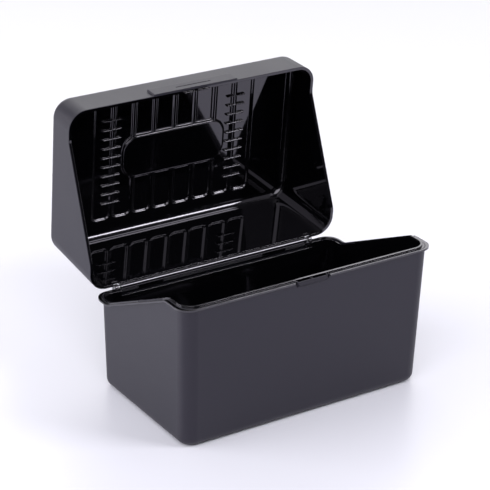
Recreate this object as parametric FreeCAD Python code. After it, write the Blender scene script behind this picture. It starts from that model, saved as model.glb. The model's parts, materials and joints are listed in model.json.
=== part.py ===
"""Hinged-lid card box: a moulded tub, a moulded lid and the steel rod that joins them.

Frame: +X to the right, +Y to the back, +Z up, in millimetres. The origin is the centre of the
tub's underside. The lid is drawn shut and then turned to its open stop, which is the rest pose.
"""

import FreeCAD, Part
import math
import os

from FreeCAD import Vector

# Tub
TUB_HALF_W = 68.6
TUB_HALF_D = 40.0
TUB_LEAN = 0.0244
TUB_CORNER_R = 7.2
TUB_WALL = 1.6
TUB_FLOOR = 2.0
FOOT_R = 4.3
FOOT_INNER_R = 3.2

# Rim line, seen from the side: level in front, sloping down, level at the back
RIM_FRONT = 74.9
RIM_BACK = 48.5
SLOPE_FROM_Y = -26.6
SLOPE_TO_Y = 29.4
RIM_BEND_R = 8.0
LIP_UP = 0.8
LIP_T = 1.0
LIP_END_X = 62.3
FLANGE_OUT = 1.8
FLANGE_OUT_FRONT = 0.7
FLANGE_T = 0.9

# Lid, in its shut position
LID_TOP = 94.5
LID_HALF_W = 72.5
LID_HALF_D = 43.2
LID_LEAN = 0.028
LID_CORNER_R = 9.6
LID_WALL = 1.55
LID_TOP_T = 2.1
LID_EDGE_R = 5.0
LID_INNER_EDGE_R = 3.6
LID_GAP = 0.05
LIP_CLEARANCE = 0.35

# Ribbed inside of the lid's top
FLUTE_PITCH = 11.95
FLUTE_COUNT = 8
FLUTE_DEPTH = 1.1
FLUTE_FRONT_Y = -36.8
FLUTE_BACK_Y = 32.0
FLUTE_CORNER_R = 3.2
RIDGE_TOP = 0.4
EASE_R = 1.0
GROOVE_W = 1.8
GROOVE_DEEP = 0.6

# Label panel in the lid's top: raised inside, recessed outside
LABEL_HALF_W = 29.2
LABEL_HALF_D = 10.6
LABEL_MID_Y = -1.1
LABEL_CORNER_R = 7.5
LABEL_PROUD = 0.35
LABEL_RECESS = 0.6
LABEL_MARGIN = 3.0

# Two racks of rungs beside the label panel
RACK_X = 36.8
RUNG_COUNT = 10
RUNG_PITCH = 5.15
RUNG_FIRST_Y = -23.9
RUNG_LENGTH = 10.4
RUNG_T = 0.8
RUNG_PROUD = 0.25
RUNG_SINK = 0.3

# Hinge
HINGE_Y = 44.1
HINGE_Z = 47.4
OPEN_ANGLE = 85.5
BARREL_R = 1.6
BARREL_HALF = 55.6
ROD_R = 0.8
ROD_RUNNING_GAP = 0.05
ROD_HELD_GAP = 0.01
ROD_CHAMFER = 0.2
EAR_FROM_X = 56.9
EAR_T = 2.0
EAR_R = 1.9
EAR_ROOM = 0.35
SHELF_Z = 45.15
SHELF_T = 1.9
SHELF_PAST_AXIS = 0.8
STOP_X = 37.0
STOP_HALF = 7.0
STOP_REACH = 3.0
STOP_T = 1.1
STOP_GAP = 0.03

# Thumb pad on the lid's front
PAD_HALF_W = 24.1
PAD_TOP_Z = 81.0
PAD_PROUD = 0.9
PAD_BEVEL = 0.5
SLIT_HALF = 10.1
SLIT_Z = 77.1
SLIT_H = 0.6

# Catch: a bevelled bar on the tub with two pockets behind it, and two prongs on the lid
BAR_HALF = 8.7
BAR_LAND_OUT = 0.2
BAR_NOSE_OUT = 1.1
BAR_NOSE_DROP = 1.8
BAR_DEEP = 2.9
BAR_HEEL_IN = 0.2
POCKET_FROM_X = 0.7
POCKET_TO_X = 7.9
POCKET_FRONT_Y = -41.65
POCKET_BACK_Y = -40.5
POCKET_DEEP = 1.9
NOTCH_W = 2.8
NOTCH_DEEP = 1.7
NOTCH_APEX_Y = -40.8
NOTCH_PAST_BAR = 0.35
PRONG_SIDE_GAP = 0.4
PRONG_FRONT_GAP = 0.08
PRONG_T = 0.45
PRONG_DOWN = 1.1

FAR = 120.0
TINY = 0.02

LEDGE_FRONT = RIM_FRONT - LIP_UP
LEDGE_BACK = RIM_BACK - LIP_UP
LAND_Z = LID_TOP - LID_TOP_T
TUB_FRONT_Y = -(TUB_HALF_D + TUB_LEAN * RIM_FRONT)
FLANGE_BACK_Y = TUB_HALF_D + TUB_LEAN * LEDGE_BACK + FLANGE_OUT
SHELF_BACK_Y = HINGE_Y + SHELF_PAST_AXIS


def box(low, high):
    """A block between two opposite corners."""
    size = [b - a for a, b in zip(low, high)]
    return Part.makeBox(size[0], size[1], size[2], Vector(*low))


def x_cylinder(radius, half_length, y, z):
    """A round bar along X, centred on X = 0."""
    return Part.makeCylinder(radius, 2 * half_length, Vector(-half_length, y, z), Vector(1, 0, 0))


def rounded_rectangle(half_w, half_d, radius, z, mid_x=0.0, mid_y=0.0):
    """A level wire with four round corners."""
    slant = radius * math.sqrt(0.5)
    edges = []
    for sx, sy in ((1, -1), (1, 1), (-1, 1), (-1, -1)):
        hub = Vector(mid_x + sx * (half_w - radius), mid_y + sy * (half_d - radius), z)
        side = hub + Vector(sx * radius, 0, 0)
        end = hub + Vector(0, sy * radius, 0)
        middle = hub + Vector(sx * slant, sy * slant, 0)
        start, finish = (end, side) if sx * sy < 0 else (side, end)
        if edges:
            edges.append(Part.LineSegment(last, start).toShape())
        else:
            first = start
        edges.append(Part.Arc(start, middle, finish).toShape())
        last = finish
    edges.append(Part.LineSegment(last, first).toShape())
    return Part.Wire(edges)


def leaning_block(half_w, half_d, radius, lean, z_low, z_high, z_nominal, mid_y=0.0):
    """A round-cornered block whose walls lean outwards by lean per unit of height."""
    wires = []
    for z in (z_low, z_high):
        grow = lean * (z - z_nominal)
        wires.append(rounded_rectangle(half_w + grow, half_d + grow, radius, z, 0.0, mid_y))
    return Part.makeLoft(wires, True, True)


def round_level_edges(shape, z, radius):
    """Fillets every edge that lies wholly at height z."""
    edges = []
    for edge in shape.Edges:
        bounds = edge.BoundBox
        if abs(bounds.ZMin - z) < TINY and abs(bounds.ZMax - z) < TINY:
            edges.append(edge)
    return shape.makeFillet(radius, edges)


def tub_block(offset, z_low, z_high):
    """The tub's outer form, grown by offset."""
    return leaning_block(
        TUB_HALF_W + offset, TUB_HALF_D + offset, TUB_CORNER_R + offset, TUB_LEAN, z_low, z_high, 0.0
    )


def lid_block(offset, z_low, z_high):
    """The shut lid's outer form, grown by offset."""
    return leaning_block(
        LID_HALF_W + offset, LID_HALF_D + offset, LID_CORNER_R + offset, -LID_LEAN, z_low, z_high, RIM_BACK
    )


def below_rim(drop):
    """Everything below the rim line lowered by drop, as a prism across the box."""
    slope = math.atan2(RIM_FRONT - RIM_BACK, SLOPE_TO_Y - SLOPE_FROM_Y)
    reach = RIM_BEND_R * math.tan(slope / 2)
    along = Vector(0, math.cos(slope), -math.sin(slope))
    level = Vector(0, 1, 0)
    front = Vector(-FAR, SLOPE_FROM_Y, RIM_FRONT - drop)
    back = Vector(-FAR, SLOPE_TO_Y, RIM_BACK - drop)
    sag = RIM_BEND_R * (1 / math.cos(slope / 2) - 1)
    bisector = (along - level).normalize()
    front_in = front - level * reach
    front_out = front + along * reach
    back_in = back - along * reach
    back_out = back + level * reach
    far_front = Vector(-FAR, -FAR, RIM_FRONT - drop)
    far_back = Vector(-FAR, FAR, RIM_BACK - drop)
    low_back = Vector(-FAR, FAR, -FAR)
    low_front = Vector(-FAR, -FAR, -FAR)
    edges = [
        Part.LineSegment(far_front, front_in).toShape(),
        Part.Arc(front_in, front + bisector * sag, front_out).toShape(),
        Part.LineSegment(front_out, back_in).toShape(),
        Part.Arc(back_in, back - bisector * sag, back_out).toShape(),
        Part.LineSegment(back_out, far_back).toShape(),
        Part.LineSegment(far_back, low_back).toShape(),
        Part.LineSegment(low_back, low_front).toShape(),
        Part.LineSegment(low_front, far_front).toShape(),
    ]
    return Part.Face(Part.Wire(edges)).extrude(Vector(2 * FAR, 0, 0))


def rim_band(outer, inner, top_drop, bottom_drop):
    """A ring that follows the rim line, between two drops below it."""
    return outer.cut(inner).common(below_rim(top_drop)).cut(below_rim(bottom_drop))


def tub_shell():
    """Walls and floor, cut off at the ledge."""
    outer = round_level_edges(tub_block(0.0, 0.0, FAR), 0.0, FOOT_R)
    hollow = round_level_edges(tub_block(-TUB_WALL, TUB_FLOOR, FAR), TUB_FLOOR, FOOT_INNER_R)
    return outer.cut(hollow).common(below_rim(LIP_UP))


def lip_block(offset):
    """The inside of the shut lid, shrunk to the lip's outer face and then grown by offset."""
    return lid_block(offset - LID_WALL - LIP_CLEARANCE, TUB_FLOOR, LID_TOP)


def tub_flange():
    """The ledge that the shut lid rests on; it stands out less at the front than elsewhere."""
    mid_y = (FLANGE_OUT - FLANGE_OUT_FRONT) / 2
    outer = leaning_block(
        TUB_HALF_W + FLANGE_OUT, TUB_HALF_D + FLANGE_OUT - mid_y, TUB_CORNER_R, TUB_LEAN,
        TUB_FLOOR, FAR, 0.0, mid_y
    )
    inner = tub_block(-TUB_WALL / 2, TUB_FLOOR, FAR).common(lip_block(-LIP_T))
    return rim_band(outer, inner, LIP_UP, LIP_UP + FLANGE_T)


def tub_lip():
    """The upstanding lip inside the shut lid."""
    return rim_band(lip_block(0.0), lip_block(-LIP_T), 0.0, LIP_UP + FLANGE_T / 2)


def hinge_shelf():
    """The level shelf along the back rim, under the hinge barrel."""
    back_wall_y = TUB_HALF_D - TUB_WALL / 2
    return box((-EAR_FROM_X, back_wall_y, SHELF_Z - SHELF_T), (EAR_FROM_X, SHELF_BACK_Y, SHELF_Z))


def hinge_room():
    """The space above the shelf, and the gaps in the lip beside it."""
    above_shelf = box((-EAR_FROM_X, TUB_HALF_D / 2, SHELF_Z), (EAR_FROM_X, FAR, RIM_BACK + LIP_UP))
    lip_gap = box((-LIP_END_X, TUB_HALF_D / 2, LEDGE_BACK), (LIP_END_X, FAR, RIM_BACK + LIP_UP))
    return above_shelf.fuse(lip_gap)


def hinge_ear(side):
    """One fixed ear: a round head on a foot that runs down beside the shelf."""
    x = EAR_FROM_X if side > 0 else -EAR_FROM_X - EAR_T
    low_z = SHELF_Z - SHELF_T
    corners = [
        Vector(x, TUB_HALF_D, low_z),
        Vector(x, FLANGE_BACK_Y, low_z),
        Vector(x, HINGE_Y + EAR_R, HINGE_Z - EAR_R),
        Vector(x, HINGE_Y + EAR_R, HINGE_Z),
        Vector(x, HINGE_Y - EAR_R, HINGE_Z),
        Vector(x, TUB_HALF_D, LEDGE_BACK - FLANGE_T),
    ]
    foot = Part.Face(Part.makePolygon(corners + corners[:1])).extrude(Vector(EAR_T, 0, 0))
    head = Part.makeCylinder(EAR_R, EAR_T, Vector(x, HINGE_Y, HINGE_Z), Vector(1, 0, 0))
    return foot.fuse(head)


def catch_bar():
    """The bar of the catch, with a bevelled face that slopes out and down to its nose."""
    profile = [
        (TUB_FRONT_Y + TUB_WALL / 2, 0.0),
        (TUB_FRONT_Y - BAR_LAND_OUT, 0.0),
        (TUB_FRONT_Y - BAR_NOSE_OUT, BAR_NOSE_DROP),
        (TUB_FRONT_Y + BAR_HEEL_IN, BAR_DEEP),
        (TUB_FRONT_Y + TUB_WALL / 2, BAR_DEEP),
    ]
    corners = [Vector(-BAR_HALF, y, LEDGE_FRONT - drop) for y, drop in profile]
    face = Part.Face(Part.makePolygon(corners + corners[:1]))
    return face.extrude(Vector(2 * BAR_HALF, 0, 0))


def bar_room():
    """The stretch of the flange that the bar's bevelled face replaces."""
    low = (-BAR_HALF, TUB_FRONT_Y - 3 * FLANGE_OUT, LEDGE_FRONT - 2 * FLANGE_T)
    return box(low, (BAR_HALF, TUB_FRONT_Y - BAR_LAND_OUT, LEDGE_FRONT + TINY))


def catch_cuts():
    """Two pockets for the lid's prongs and a pointed notch at each end of the bar."""
    cuts = []
    for side in (-1, 1):
        near, far = sorted((side * POCKET_FROM_X, side * POCKET_TO_X))
        low = (near, POCKET_FRONT_Y, LEDGE_FRONT - POCKET_DEEP)
        cuts.append(box(low, (far, POCKET_BACK_Y, LEDGE_FRONT + TINY)))
        x = side * (BAR_HALF + NOTCH_PAST_BAR)
        open_y = TUB_FRONT_Y - FLANGE_OUT
        corners = [
            Vector(x - NOTCH_W / 2, open_y, LEDGE_FRONT - NOTCH_DEEP),
            Vector(x + NOTCH_W / 2, open_y, LEDGE_FRONT - NOTCH_DEEP),
            Vector(x, NOTCH_APEX_Y, LEDGE_FRONT - NOTCH_DEEP),
        ]
        notch = Part.Face(Part.makePolygon(corners + corners[:1]))
        cuts.append(notch.extrude(Vector(0, 0, NOTCH_DEEP + TINY)))
    return cuts


def card_tub():
    """The whole tub as one moulding."""
    tub = tub_shell().fuse([tub_flange(), tub_lip()]).cut([hinge_room(), bar_room()])
    tub = tub.fuse([hinge_shelf(), hinge_ear(-1), hinge_ear(1), catch_bar()])
    hole = x_cylinder(ROD_R + ROD_HELD_GAP, FAR, HINGE_Y, HINGE_Z)
    return tub.cut([hole] + catch_cuts()).removeSplitter()


def eased_block(half_w, half_d, radius, z_from, depth, mid_x, mid_y, widen):
    """A round-cornered block with soft S-shaped walls that widen (or narrow) with height.

    widen is +1 where the block grows upwards and -1 where it shrinks upwards.
    """
    steepest = math.acos(1 - depth / (2 * EASE_R))
    steps = 3
    stations = []
    for i in range(steps + 1):
        turn = steepest * i / steps
        stations.append((EASE_R * math.sin(turn), EASE_R * (1 - math.cos(turn))))
    reach, rise = 2 * stations[-1][0], 2 * stations[-1][1]
    for run, climb in reversed(stations[:-1]):
        stations.append((reach - run, rise - climb))
    wires = []
    for run, climb in stations:
        grow = widen * run
        wires.append(
            rounded_rectangle(half_w + grow, half_d + grow, radius + grow, z_from + climb, mid_x, mid_y)
        )
    return Part.makeLoft(wires, True, False)


def flute_tools():
    """The channels moulded into the underside of the lid's top."""
    half_w = (FLUTE_PITCH - RIDGE_TOP) / 2
    half_d = (FLUTE_BACK_Y - FLUTE_FRONT_Y) / 2
    mid_y = (FLUTE_BACK_Y + FLUTE_FRONT_Y) / 2
    tools = []
    for i in range(FLUTE_COUNT):
        mid_x = (i - (FLUTE_COUNT - 1) / 2) * FLUTE_PITCH
        tools.append(
            eased_block(half_w, half_d, FLUTE_CORNER_R, LAND_Z, FLUTE_DEPTH, mid_x, mid_y, -1)
        )
    return tools


def label_pad():
    """The label panel's raised inner face, with walls that widen into the flutes."""
    depth = FLUTE_DEPTH + LABEL_PROUD
    return eased_block(
        LABEL_HALF_W, LABEL_HALF_D, LABEL_CORNER_R, LAND_Z - LABEL_PROUD, depth, 0.0, LABEL_MID_Y, 1
    )


def rungs():
    """Round-topped rungs across the flutes, one rack on each side."""
    crest = LAND_Z - RUNG_PROUD
    half = RUNG_LENGTH / 2
    bars = []
    for side in (-1, 1):
        for i in range(RUNG_COUNT):
            y = RUNG_FIRST_Y + i * RUNG_PITCH
            x = side * RACK_X
            start = Vector(x - half, y, crest + RUNG_T / 2)
            bars.append(Part.makeCylinder(RUNG_T / 2, RUNG_LENGTH, start, Vector(1, 0, 0)))
            low = (x - half, y - RUNG_T / 2, crest + RUNG_T / 2)
            high = (x + half, y + RUNG_T / 2, LAND_Z + FLUTE_DEPTH + RUNG_SINK)
            bars.append(box(low, high))
    return bars


def top_recesses():
    """Outside of the lid's top: a label recess, and a groove over each ridge."""
    floor_z = LID_TOP - LABEL_RECESS
    wires = []
    for z, grow in ((floor_z, 0.0), (LID_TOP + TINY, LABEL_RECESS)):
        wires.append(
            rounded_rectangle(
                LABEL_HALF_W + grow, LABEL_HALF_D + grow, LABEL_CORNER_R + grow, z, 0.0, LABEL_MID_Y
            )
        )
    recess = Part.makeLoft(wires, True, True)
    margin = rounded_rectangle(
        LABEL_HALF_W + LABEL_MARGIN, LABEL_HALF_D + LABEL_MARGIN, LABEL_CORNER_R + LABEL_MARGIN,
        LAND_Z, 0.0, LABEL_MID_Y
    )
    keep_out = Part.Face(margin).extrude(Vector(0, 0, 2 * LID_TOP_T))
    half_d = (FLUTE_BACK_Y - FLUTE_FRONT_Y) / 2
    mid_y = (FLUTE_BACK_Y + FLUTE_FRONT_Y) / 2
    grooves = []
    for i in range(FLUTE_COUNT + 1):
        mid_x = (i - FLUTE_COUNT / 2) * FLUTE_PITCH
        wires = []
        for z, grow in ((LID_TOP - GROOVE_DEEP, -GROOVE_DEEP / 2), (LID_TOP + TINY, 0.0)):
            half_w = GROOVE_W / 2 + grow
            wires.append(rounded_rectangle(half_w, half_d + grow, half_w - TINY, z, mid_x, mid_y))
        grooves.append(Part.makeLoft(wires, True, True).cut(keep_out))
    return [recess] + grooves


def thumb_pad():
    """The bevelled pad on the lid's front wall."""
    rim_z = LEDGE_FRONT + LID_GAP
    wall_y = -(LID_HALF_D - LID_LEAN * (RIM_FRONT - RIM_BACK))
    wires = []
    for y, grow in ((wall_y + LID_WALL / 2, PAD_BEVEL), (wall_y - PAD_PROUD, 0.0)):
        half = PAD_HALF_W + grow
        corners = [
            Vector(-half, y, rim_z),
            Vector(half, y, rim_z),
            Vector(half, y, PAD_TOP_Z + grow),
            Vector(-half, y, PAD_TOP_Z + grow),
        ]
        wires.append(Part.makePolygon(corners + corners[:1]))
    return Part.makeLoft(wires, True, True)


def slit():
    """The thin slit through the thumb pad and the front wall."""
    low = (-SLIT_HALF, -LID_HALF_D - 2 * PAD_PROUD, SLIT_Z)
    return box(low, (SLIT_HALF, -LID_HALF_D + 2 * LID_WALL, SLIT_Z + SLIT_H))


def prongs():
    """Two short prongs that enter the tub's pockets when the lid shuts."""
    front_y = POCKET_FRONT_Y + PRONG_FRONT_GAP
    bars = []
    for side in (-1, 1):
        near = POCKET_FROM_X + PRONG_SIDE_GAP
        far = POCKET_TO_X - PRONG_SIDE_GAP
        x_low, x_high = sorted((side * near, side * far))
        low = (x_low, front_y, LEDGE_FRONT - PRONG_DOWN)
        bars.append(box(low, (x_high, front_y + PRONG_T, LEDGE_FRONT + LID_WALL)))
    return bars


def hinge_barrel():
    """The long barrel along the lid's back rim, with its two stop fins."""
    barrel = x_cylinder(BARREL_R, BARREL_HALF, HINGE_Y, HINGE_Z)
    turn = math.radians(OPEN_ANGLE)
    arm = HINGE_Z - SHELF_Z
    gap_y = HINGE_Y - SHELF_BACK_Y - STOP_GAP
    low_z = HINGE_Z - (gap_y + math.cos(turn) * arm) / math.sin(turn)
    fins = []
    for side in (-1, 1):
        x = side * STOP_X
        low = (x - STOP_HALF, HINGE_Y, low_z)
        fins.append(box(low, (x + STOP_HALF, HINGE_Y + STOP_REACH, low_z + STOP_T)))
    return barrel.fuse(fins)


def ear_rooms():
    """Notches in the lid's back rim that clear the tub's ears."""
    rooms = []
    for side in (-1, 1):
        x_low, x_high = sorted((side * BARREL_HALF, side * (EAR_FROM_X + EAR_T + EAR_ROOM)))
        low = (x_low, HINGE_Y - 3 * EAR_R, SHELF_Z)
        rooms.append(box(low, (x_high, HINGE_Y + 2 * EAR_R, HINGE_Z + EAR_R + EAR_ROOM)))
    return rooms


def lid_body():
    """The lid's walls and top, cut off at the ledge."""
    low = SHELF_Z - LIP_UP
    outer = round_level_edges(lid_block(0.0, low, LID_TOP), LID_TOP, LID_EDGE_R)
    hollow = round_level_edges(lid_block(-LID_WALL, low, LAND_Z), LAND_Z, LID_INNER_EDGE_R)
    return outer.cut(hollow).cut(below_rim(LIP_UP - LID_GAP))


def lid_shell():
    """The whole lid as one moulding, turned to its open stop."""
    pad = label_pad()
    flutes = [tool.cut(pad) for tool in flute_tools()]
    lid = lid_body().cut(flutes).fuse([pad] + rungs()).cut(top_recesses())
    lid = lid.cut(ear_rooms()).fuse([hinge_barrel(), thumb_pad()] + prongs())
    rod_room = x_cylinder(ROD_R + ROD_RUNNING_GAP, FAR, HINGE_Y, HINGE_Z)
    lid = lid.cut([rod_room, slit()]).removeSplitter()
    lid.rotate(Vector(0, HINGE_Y, HINGE_Z), Vector(-1, 0, 0), OPEN_ANGLE)
    return lid


def hinge_rod():
    """The steel rod, flush with the outer faces of the ears."""
    rod = x_cylinder(ROD_R, EAR_FROM_X + EAR_T, HINGE_Y, HINGE_Z)
    return rod.makeChamfer(ROD_CHAMFER, [rod.Edges[0], rod.Edges[2]])


def main():
    os.makedirs("parts", exist_ok=True)
    for build in (card_tub, lid_shell, hinge_rod):
        build().exportStep("parts/" + build.__name__ + ".step")


main()
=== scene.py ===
"""Looks for the hinged-lid card box: satin outside, polished inside, on a pale floor.

Lengths are in metres. +X is to the right, +Y to the back and +Z up, as in the CAD.
"""

import json
import math

import bpy
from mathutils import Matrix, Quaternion, Vector


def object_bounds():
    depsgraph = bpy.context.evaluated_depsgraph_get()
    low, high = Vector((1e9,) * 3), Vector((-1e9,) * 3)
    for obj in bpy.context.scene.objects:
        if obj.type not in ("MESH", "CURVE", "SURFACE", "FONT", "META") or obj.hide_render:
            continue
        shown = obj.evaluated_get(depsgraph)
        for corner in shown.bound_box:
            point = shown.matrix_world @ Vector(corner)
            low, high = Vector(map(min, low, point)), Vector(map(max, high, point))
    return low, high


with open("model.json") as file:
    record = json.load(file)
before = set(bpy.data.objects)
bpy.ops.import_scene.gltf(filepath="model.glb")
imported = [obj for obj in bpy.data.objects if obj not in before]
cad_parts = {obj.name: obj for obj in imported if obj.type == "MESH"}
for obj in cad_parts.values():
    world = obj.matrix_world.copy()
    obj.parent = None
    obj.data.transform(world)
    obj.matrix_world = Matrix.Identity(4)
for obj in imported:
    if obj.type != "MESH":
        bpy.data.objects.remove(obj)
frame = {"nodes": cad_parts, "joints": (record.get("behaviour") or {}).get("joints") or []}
cad_low, cad_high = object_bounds()

# Forms of the two mouldings, as the CAD has them
TUB_HALF_W, TUB_HALF_D, TUB_CORNER_R = 0.0686, 0.0400, 0.0072
TUB_LEAN = 0.0244
FOOT_R = 0.0043
LID_HALF_W, LID_HALF_D, LID_CORNER_R = 0.0725, 0.0432, 0.0096
LID_LEAN = -0.028
LID_NOMINAL_Z = 0.0485
LID_TOP, LID_EDGE_R = 0.0945, 0.0050

# Where satin turns to gloss: depth under the outer form, height over it, and the exceptions
TUB_SKIN, LID_SKIN = 0.0004, 0.0003
TUB_RIM_SKIN = 0.00015
LID_TOP_SKIN_Z = 0.0937
BAR_HALF = 0.0092
HINGE_GLOSS_R = 0.0042

# Black plastic: each pair is the two ends of a slow drift over the surface.
# Each noise is its scale, detail and roughness.
SATIN_ROUGHNESS = 0.40, 0.46
GLOSS_ROUGHNESS = 0.035, 0.06
SATIN_BLACKS = (0.0074, 0.0068, 0.0125, 1), (0.0096, 0.0088, 0.0155, 1)
GLOSS_BLACKS = (0.0008, 0.0008, 0.0012, 1), (0.0014, 0.0014, 0.0020, 1)
SHEEN_TINT = (0.92, 0.88, 1.0, 1)
SATIN_IOR, GLOSS_IOR = 1.5, 1.72
DRIFT_NOISE, GRAIN_NOISE, WAVE_NOISE = (55.0, 2.0, 0.5), (5200.0, 2.0, 0.6), (38.0, 1.0, 0.3)
GRAIN_HEIGHT = 0.000012
SATIN_WAVE, GLOSS_WAVE = 0.00001, 0.00004
SOFT_EDGE_R, SOFT_EDGE_SAMPLES = 0.0003, 4

# Drawn steel
STEELS = (0.42, 0.42, 0.43, 1), (0.62, 0.62, 0.64, 1)
STEEL_ROUGHNESS = 0.22, 0.36
LINE_NOISE, LINE_STRETCH = (4000.0, 2.0, 0.5), 0.02
LINE_HEIGHT = 0.000006

# Floor: lavender painted shade near the box, turning to the floor's own white between two distances from
# the box
FLOOR_SIZE, FLOOR_DROP = 12.0, 0.0001
FLOOR_NEAR, FLOOR_FAR = 0.10, 0.75
FLOOR_PAINTED_SHADE, FLOOR_WHITE = (0.78, 0.775, 0.86, 1), (0.80, 0.80, 0.825, 1)
FLOOR_ROUGHNESS = 0.35
CLOUD_NOISE, CLOUD_SHARE = (6.0, 2.0, 0.5), 0.04

# Surroundings: white, but dark towards one side
DARK_SIDE = (-0.25, -0.96, 0.12)
DARK_FROM, DARK_TO = 0.30, 0.70
SKY_WHITE, SKY_DARK = (0.97, 0.96, 1.0, 1), (0.10, 0.098, 0.11, 1)
SKY_STRENGTH = 0.52

# Soft boxes: place from the middle of the box, size and power in watts
SOFT_BOXES = {
    "key": (1.5 * Vector((0.52, -0.56, 0.66)), (0.55, 0.40), 10.0),
    "front_fill": (Vector((-0.8, -0.9, 1.15)), (1.6, 1.2), 17.0),
    "left_panel": (Vector((-1.2, 0.5, 0.4)), (1.0, 0.7), 13.0),
    "back_panel": (Vector((0.8, 1.4, 0.85)), (2.4, 1.0), 13.0),
}

# Camera: angles in degrees, lens and sensor in millimetres
AZIMUTH, ELEVATION, ROLL = -33.45, 24.53, 1.31
LENS, SENSOR = 148.19, 36.0
DISTANCE = 1.029
AIM = Vector((0.01558, 0.04035, 0.05541))
CLIP_NEAR, CLIP_FAR = 0.05, 50.0


class Nodes:
    """A short way to write one node tree, for a material or the world."""

    def __init__(self, block, shader):
        self.block = block
        self.block.use_nodes = True
        self.tree = self.block.node_tree
        self.shader = self.tree.nodes[shader]

    def add(self, kind, **settings):
        node = self.tree.nodes.new(kind)
        for key, value in settings.items():
            setattr(node, key, value)
        return node

    def wire(self, value, socket):
        """Feeds a socket from another socket or a plain value."""
        if isinstance(value, bpy.types.NodeSocket):
            self.tree.links.new(value, socket)
        else:
            socket.default_value = value

    def math(self, operation, a, b):
        node = self.add("ShaderNodeMath", operation=operation)
        for value, socket in zip((a, b), node.inputs):
            self.wire(value, socket)
        return node.outputs[0]

    def absolute(self, value):
        return self.math("ABSOLUTE", value, 0.0)

    def vector(self, operation, a, b=(0, 0, 0)):
        node = self.add("ShaderNodeVectorMath", operation=operation)
        self.wire(a, node.inputs[0])
        self.wire(b, node.inputs[1])
        return node.outputs["Value" if operation in ("LENGTH", "DOT_PRODUCT") else "Vector"]

    def place(self):
        return self.add("ShaderNodeTexCoord").outputs["Object"]

    def split(self, vector):
        node = self.add("ShaderNodeSeparateXYZ")
        self.wire(vector, node.inputs[0])
        return node.outputs

    def join(self, x, y, z):
        node = self.add("ShaderNodeCombineXYZ")
        for value, socket in zip((x, y, z), node.inputs):
            self.wire(value, socket)
        return node.outputs[0]

    def noise(self, vector, scale, detail, rough):
        node = self.add("ShaderNodeTexNoise")
        self.wire(vector, node.inputs["Vector"])
        self.wire(scale, node.inputs["Scale"])
        self.wire(detail, node.inputs["Detail"])
        self.wire(rough, node.inputs["Roughness"])
        return node.outputs["Fac"]

    def spread(self, value, low, high):
        """Maps 0..1 to low..high."""
        node = self.add("ShaderNodeMapRange")
        self.wire(value, node.inputs["Value"])
        self.wire(low, node.inputs["To Min"])
        self.wire(high, node.inputs["To Max"])
        return node.outputs[0]

    def ramp(self, value, low, high):
        """Rises smoothly from 0 at low to 1 at high."""
        node = self.add("ShaderNodeMapRange", interpolation_type="SMOOTHSTEP")
        self.wire(value, node.inputs["Value"])
        self.wire(low, node.inputs["From Min"])
        self.wire(high, node.inputs["From Max"])
        return node.outputs[0]

    def mix(self, share, a, b):
        node = self.add("ShaderNodeMix", data_type="FLOAT")
        for value, socket in zip((share, a, b), (node.inputs[0], node.inputs[2], node.inputs[3])):
            self.wire(value, socket)
        return node.outputs[0]

    def mix_colour(self, share, a, b):
        node = self.add("ShaderNodeMix", data_type="RGBA")
        for value, socket in zip((share, a, b), (node.inputs[0], node.inputs[6], node.inputs[7])):
            self.wire(value, socket)
        return node.outputs[2]

    def bump(self, height, depth, normal=None):
        node = self.add("ShaderNodeBump")
        node.inputs["Strength"].default_value = 1.0
        self.wire(depth, node.inputs["Distance"])
        self.wire(height, node.inputs["Height"])
        if normal is not None:
            self.wire(normal, node.inputs["Normal"])
        return node.outputs[0]


def corner_distance(nodes, past_a, past_b, radius):
    """Distance from a round corner, from how far a point is past its centre in two directions."""
    outer = nodes.join(nodes.math("MAXIMUM", past_a, 0.0), nodes.math("MAXIMUM", past_b, 0.0), 0.0)
    inner = nodes.math("MINIMUM", nodes.math("MAXIMUM", past_a, past_b), 0.0)
    return nodes.math("SUBTRACT", nodes.math("ADD", nodes.vector("LENGTH", outer), inner), radius)


def wall_distance(nodes, place, half_w, half_d, radius, lean, nominal_z):
    """How far a point lies outside a leaning round-cornered block; negative inside."""
    x, y, z = nodes.split(place)
    grow = nodes.math("MULTIPLY", nodes.math("SUBTRACT", z, nominal_z), lean)
    past_x = nodes.math("SUBTRACT", nodes.math("SUBTRACT", nodes.absolute(x), half_w - radius), grow)
    past_y = nodes.math("SUBTRACT", nodes.math("SUBTRACT", nodes.absolute(y), half_d - radius), grow)
    return corner_distance(nodes, past_x, past_y, radius)


def round_over(nodes, wall, level, radius):
    """Joins the distances from a wall and a level face across their rounded edge."""
    past_wall = nodes.math("ADD", wall, radius)
    past_level = nodes.math("ADD", level, radius)
    return corner_distance(nodes, past_wall, past_level, radius)


def shut_place(nodes):
    """Where a point of the lid would be with the lid shut."""
    joint = frame["joints"][0]
    node = nodes.add("ShaderNodeVectorRotate", rotation_type="AXIS_ANGLE")
    nodes.wire(nodes.place(), node.inputs["Vector"])
    node.inputs["Center"].default_value = joint["pos_m"]
    node.inputs["Axis"].default_value = joint["axis"]
    node.inputs["Angle"].default_value = math.radians(joint["range_deg"][0])
    return node.outputs[0]


def near_hinge(nodes, place):
    """1 on the barrel, the ears and the shelf's edge, 0 elsewhere."""
    joint = frame["joints"][0]
    from_axis = nodes.vector("MULTIPLY", nodes.vector("SUBTRACT", place, joint["pos_m"]), (0, 1, 1))
    return nodes.math("LESS_THAN", nodes.vector("LENGTH", from_axis), HINGE_GLOSS_R)


def new_material(name):
    return Nodes(bpy.data.materials.new(name), "Principled BSDF")


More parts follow.
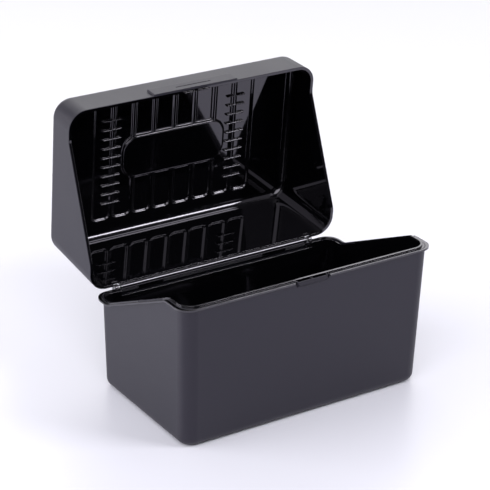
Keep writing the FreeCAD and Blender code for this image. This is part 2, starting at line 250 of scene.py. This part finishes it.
def black_plastic(nodes, gloss_share, place):
    """Black plastic with a fine satin grain, or polished where gloss_share is 1."""
    drift = nodes.noise(place, *DRIFT_NOISE)
    grain = nodes.noise(place, *GRAIN_NOISE)
    wave = nodes.noise(place, *WAVE_NOISE)
    satin = nodes.spread(drift, *SATIN_ROUGHNESS)
    gloss = nodes.spread(drift, *GLOSS_ROUGHNESS)
    nodes.wire(nodes.mix(gloss_share, satin, gloss), nodes.shader.inputs["Roughness"])
    satin_black = nodes.mix_colour(drift, *SATIN_BLACKS)
    gloss_black = nodes.mix_colour(drift, *GLOSS_BLACKS)
    nodes.wire(nodes.mix_colour(gloss_share, satin_black, gloss_black), nodes.shader.inputs["Base Color"])
    nodes.wire(SHEEN_TINT, nodes.shader.inputs["Specular Tint"])
    nodes.wire(nodes.mix(gloss_share, SATIN_IOR, GLOSS_IOR), nodes.shader.inputs["IOR"])
    soft_edge = nodes.add("ShaderNodeBevel", samples=SOFT_EDGE_SAMPLES)
    soft_edge.inputs["Radius"].default_value = SOFT_EDGE_R
    grained = nodes.bump(grain, nodes.mix(gloss_share, GRAIN_HEIGHT, 0.0), soft_edge.outputs[0])
    waved = nodes.bump(wave, nodes.mix(gloss_share, SATIN_WAVE, GLOSS_WAVE), grained)
    nodes.wire(waved, nodes.shader.inputs["Normal"])
    return nodes.block


def tub_material():
    """Gloss inside the tub, on its rim and at the hinge; satin outside and on the catch bar."""
    nodes = new_material("tub_plastic")
    place = nodes.place()
    x, y, z = nodes.split(place)
    wall = wall_distance(nodes, place, TUB_HALF_W, TUB_HALF_D, TUB_CORNER_R, TUB_LEAN, 0.0)
    below = nodes.math("MULTIPLY", z, -1.0)
    distance = round_over(nodes, wall, below, FOOT_R)
    hollow = nodes.math("LESS_THAN", distance, -TUB_SKIN)
    proud = nodes.math("GREATER_THAN", distance, TUB_RIM_SKIN)
    beside_bar = nodes.math("GREATER_THAN", nodes.absolute(x), BAR_HALF)
    off_bar = nodes.math("MAXIMUM", beside_bar, nodes.math("GREATER_THAN", y, 0.0))
    rim = nodes.math("MAXIMUM", nodes.math("MULTIPLY", proud, off_bar), near_hinge(nodes, place))
    return black_plastic(nodes, nodes.math("MAXIMUM", hollow, rim), place)


def lid_material():
    """Gloss inside the lid and at the hinge; satin outside, also in the label recess."""
    nodes = new_material("lid_plastic")
    place = shut_place(nodes)
    wall = wall_distance(nodes, place, LID_HALF_W, LID_HALF_D, LID_CORNER_R, LID_LEAN, LID_NOMINAL_Z)
    height = nodes.split(place)[2]
    above = nodes.math("SUBTRACT", height, LID_TOP)
    hollow = nodes.math("LESS_THAN", round_over(nodes, wall, above, LID_EDGE_R), -LID_SKIN)
    below_top = nodes.math("LESS_THAN", height, LID_TOP_SKIN_Z)
    gloss = nodes.math("MAXIMUM", nodes.math("MULTIPLY", hollow, below_top), near_hinge(nodes, place))
    return black_plastic(nodes, gloss, place)


def rod_material():
    """Drawn steel: bright, with fine lines along the rod."""
    nodes = new_material("rod_steel")
    x, y, z = nodes.split(nodes.place())
    along = nodes.join(nodes.math("MULTIPLY", x, LINE_STRETCH), y, z)
    lines = nodes.noise(along, *LINE_NOISE)
    steel = nodes.mix_colour(lines, *STEELS)
    nodes.wire(steel, nodes.shader.inputs["Base Color"])
    nodes.shader.inputs["Metallic"].default_value = 1.0
    nodes.wire(nodes.spread(lines, *STEEL_ROUGHNESS), nodes.shader.inputs["Roughness"])
    nodes.wire(nodes.bump(lines, LINE_HEIGHT), nodes.shader.inputs["Normal"])
    return nodes.block


def paint():
    """Gives each CAD node its own material."""
    for node, material in (
        ("card_tub", tub_material()),
        ("lid_shell", lid_material()),
        ("hinge_rod", rod_material()),
    ):
        piece = frame["nodes"][node]
        piece.data.materials.clear()
        piece.data.materials.append(material)


def floor():
    """A wide pale floor, with lavender painted shade near the box that fades to white further away."""
    nodes = new_material("floor_with_painted_shade")
    place = nodes.place()
    cloud = nodes.noise(place, *CLOUD_NOISE)
    # Painted shade: lavender near the box, fading out to white further away
    far = nodes.ramp(nodes.vector("LENGTH", place), FLOOR_NEAR, FLOOR_FAR)
    far_part = nodes.math("MULTIPLY", far, 1 - CLOUD_SHARE)
    cloud_part = nodes.math("MULTIPLY", cloud, CLOUD_SHARE)
    floor_and_painted_shade = nodes.mix_colour(nodes.math("ADD", far_part, cloud_part), FLOOR_PAINTED_SHADE, FLOOR_WHITE)
    nodes.wire(floor_and_painted_shade, nodes.shader.inputs["Base Color"])
    nodes.wire(FLOOR_ROUGHNESS, nodes.shader.inputs["Roughness"])
    bpy.ops.mesh.primitive_plane_add(size=FLOOR_SIZE, location=(0, 0, cad_low.z - FLOOR_DROP))
    sheet = bpy.context.object
    sheet.name = "floor"
    sheet.data.materials.append(nodes.block)


def surroundings():
    """White all round, but dark in front, where the camera stands."""
    world = bpy.data.worlds.new("studio")
    bpy.context.scene.world = world
    nodes = Nodes(world, "Background")
    direction = nodes.add("ShaderNodeTexCoord").outputs["Generated"]
    dark = nodes.ramp(nodes.vector("DOT_PRODUCT", direction, DARK_SIDE), DARK_FROM, DARK_TO)
    nodes.wire(nodes.mix_colour(dark, SKY_WHITE, SKY_DARK), nodes.shader.inputs["Color"])
    nodes.wire(SKY_STRENGTH, nodes.shader.inputs["Strength"])


def add_to_scene(name, data, place, rotation):
    """Puts a lamp or a camera in the scene."""
    holder = bpy.data.objects.new(name, data)
    holder.location = place
    holder.rotation_mode = "QUATERNION"
    holder.rotation_quaternion = rotation
    bpy.context.scene.collection.objects.link(holder)
    return holder


def studio():
    """A small bright box high at the front right; the others are wide fill."""
    middle = (cad_low + cad_high) / 2
    for name, (offset, size, power) in SOFT_BOXES.items():
        lamp = bpy.data.lights.new(name, "AREA")
        lamp.shape = "RECTANGLE"
        lamp.size, lamp.size_y = size
        lamp.energy = power
        add_to_scene(name, lamp, middle + offset, (-offset).to_track_quat("-Z", "Y"))


def camera():
    """The camera stands to the left of the front and looks down at the box."""
    turn, tilt = math.radians(AZIMUTH), math.radians(ELEVATION)
    back = Vector((math.sin(turn) * math.cos(tilt), -math.cos(turn) * math.cos(tilt), math.sin(tilt)))
    lens = bpy.data.cameras.new("camera")
    lens.lens = LENS
    lens.sensor_width = SENSOR
    lens.clip_start, lens.clip_end = CLIP_NEAR, CLIP_FAR
    roll = Quaternion(back, math.radians(ROLL))
    rotation = roll @ (-back).to_track_quat("-Z", "Y")
    bpy.context.scene.camera = add_to_scene("camera", lens, AIM + back * DISTANCE, rotation)


paint()
floor()
surroundings()
studio()
camera()
bpy.context.scene.view_settings.view_transform = "Standard"
